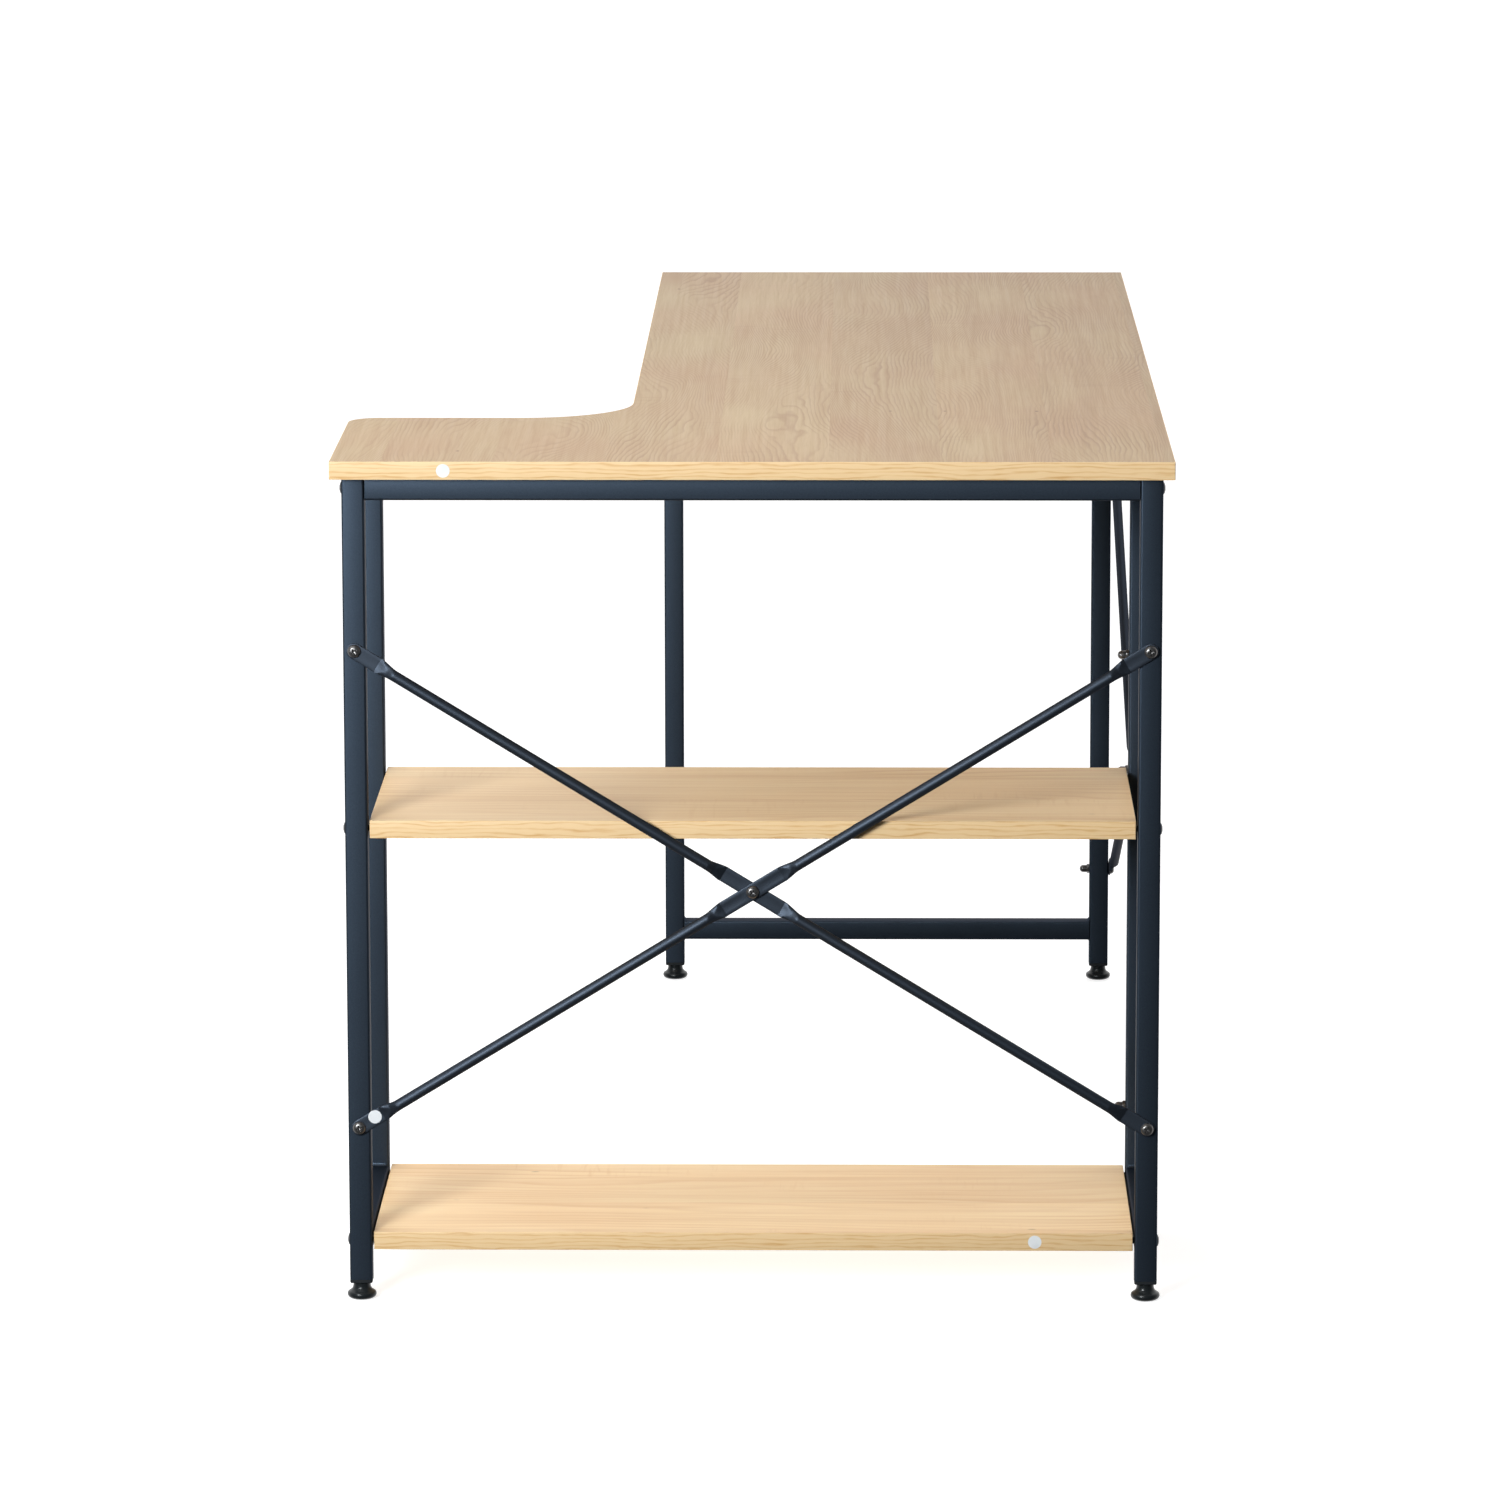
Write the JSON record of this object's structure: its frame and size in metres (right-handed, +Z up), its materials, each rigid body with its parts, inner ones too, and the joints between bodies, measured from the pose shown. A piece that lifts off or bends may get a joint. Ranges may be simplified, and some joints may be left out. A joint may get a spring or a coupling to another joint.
{
  "type": "corner desk",
  "caption": "L-shaped corner desk with a wood-effect top, a shelf tower under its near end, a slim square-tube frame, X-braces and screw-in levelling feet.",
  "frame": {"origin": "on the floor under the centre of the worktop's outer rectangle", "axes": "+X towards the wall side with the side X-brace, +Y from the shelf tower along the long wing, +Z up"},
  "size_m": [0.74, 1.4, 0.758],
  "materials": {
    "worktop_board": "beech-pattern laminate, satin, grain along the long wing, with a pale wood edge band",
    "shelf_board": "beech-pattern laminate, satin, grain along the shelf, with a pale wood edge band",
    "frame_steel": "fine-textured dark blue-grey powder coat",
    "brace_steel": "satin dark blue-grey powder coat on flattened round tube",
    "insert_plastic": "matt black moulded plastic",
    "foot_plastic": "glossy black moulded plastic",
    "brace_fastener": "black-bronze plated steel",
    "frame_bolt": "black plated steel"
  },
  "bodies": {
    "desk": {"bolt_lower_front_left": "frame_bolt", "bolt_lower_front_right": "frame_bolt", "bolt_lower_rear_left": "frame_bolt", "bolt_lower_rear_right": "frame_bolt", "bolt_middle_front_left": "frame_bolt", "bolt_middle_front_right": "frame_bolt", "bolt_middle_rear_left": "frame_bolt", "bolt_middle_rear_right": "frame_bolt", "bolt_rail_front_left": "frame_bolt", "bolt_rail_front_right": "frame_bolt", "brace_front_falling": "brace_steel", "brace_front_rising": "brace_steel", "brace_side_falling": "brace_steel", "brace_side_rising": "brace_steel", "cap_nut_side_lower_end": "brace_fastener", "cap_nut_side_lower_start": "brace_fastener", "cap_nut_side_upper_end": "brace_fastener", "cap_nut_side_upper_start": "brace_fastener", "crossbar_far_bottom": "frame_steel", "crossbar_far_top": "frame_steel", "crossbar_left_bottom": "frame_steel", "crossbar_left_top": "frame_steel", "crossbar_right_bottom": "frame_steel", "crossbar_right_top": "frame_steel", "insert_far_left": "insert_plastic", "insert_far_right": "insert_plastic", "insert_front_left": "insert_plastic", "insert_front_right": "insert_plastic", "insert_rear_left": "insert_plastic", "insert_rear_right": "insert_plastic", "leg_far_left": "frame_steel", "leg_far_right": "frame_steel", "leg_front_left": "frame_steel", "leg_front_right": "frame_steel", "leg_rear_left": "frame_steel", "leg_rear_right": "frame_steel", "lower_shelf": "shelf_board", "middle_shelf": "shelf_board", "rail_front": "frame_steel", "rail_long_left": "frame_steel", "rail_long_right": "frame_steel", "rail_rear": "frame_steel", "screw_front_centre": "brace_fastener", "screw_front_lower_end": "brace_fastener", "screw_front_lower_start": "brace_fastener", "screw_front_upper_end": "brace_fastener", "screw_front_upper_start": "brace_fastener", "screw_side_centre": "brace_fastener", "screw_side_lower_end": "brace_fastener", "screw_side_lower_start": "brace_fastener", "screw_side_upper_end": "brace_fastener", "screw_side_upper_start": "brace_fastener", "worktop": "worktop_board"},
    "foot_front_left": {"foot_front_left": "foot_plastic"},
    "foot_front_right": {"foot_front_right": "foot_plastic"},
    "foot_rear_left": {"foot_rear_left": "foot_plastic"},
    "foot_rear_right": {"foot_rear_right": "foot_plastic"},
    "foot_far_left": {"foot_far_left": "foot_plastic"},
    "foot_far_right": {"foot_far_right": "foot_plastic"}
  },
  "joints": [
    {"name": "foot_front_left_level", "type": "slide", "parent": "desk", "child": "foot_front_left", "axis": [0, 0, -1], "range_m": [0, 0.01]},
    {"name": "foot_front_right_level", "type": "slide", "parent": "desk", "child": "foot_front_right", "axis": [0, 0, -1], "range_m": [0, 0.01]},
    {"name": "foot_rear_left_level", "type": "slide", "parent": "desk", "child": "foot_rear_left", "axis": [0, 0, -1], "range_m": [0, 0.01]},
    {"name": "foot_rear_right_level", "type": "slide", "parent": "desk", "child": "foot_rear_right", "axis": [0, 0, -1], "range_m": [0, 0.01]},
    {"name": "foot_far_left_level", "type": "slide", "parent": "desk", "child": "foot_far_left", "axis": [0, 0, -1], "range_m": [0, 0.01]},
    {"name": "foot_far_right_level", "type": "slide", "parent": "desk", "child": "foot_far_right", "axis": [0, 0, -1], "range_m": [0, 0.01]}
  ]
}
